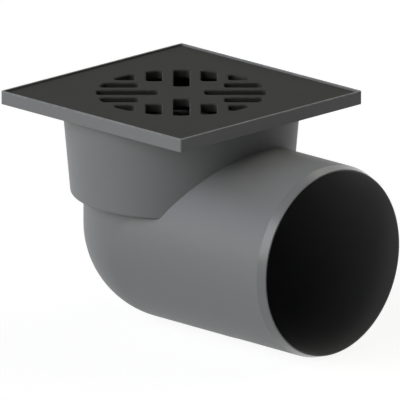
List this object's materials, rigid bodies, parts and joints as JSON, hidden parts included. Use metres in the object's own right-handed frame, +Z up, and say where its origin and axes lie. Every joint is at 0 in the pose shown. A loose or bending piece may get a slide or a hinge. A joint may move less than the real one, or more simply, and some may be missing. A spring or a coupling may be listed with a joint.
{
  "type": "gully trap",
  "caption": "Floor gully with a square slotted grate, a tapered bowl, a side outlet spigot and a lift-out water trap.",
  "frame": {"origin": "middle of the square top, level with the top of its rim, on the inlet's upright axis", "axes": "+Z up along the inlet, +X along the outlet spigot, +Y across it"},
  "size_m": [0.192, 0.144, 0.1318],
  "materials": {
    "body_plastic": "satin moulded polypropylene, mid grey",
    "grate_plastic": "fine-grained dark grey plastic",
    "trap_plastic": "smooth charcoal plastic",
    "seal_rubber": "soft black rubber"
  },
  "bodies": {
    "root": {"gully_body": "body_plastic", "grate": "grate_plastic", "trap_funnel": "trap_plastic", "trap_cup": "trap_plastic", "seal_ring": "seal_rubber"}
  },
  "joints": []
}
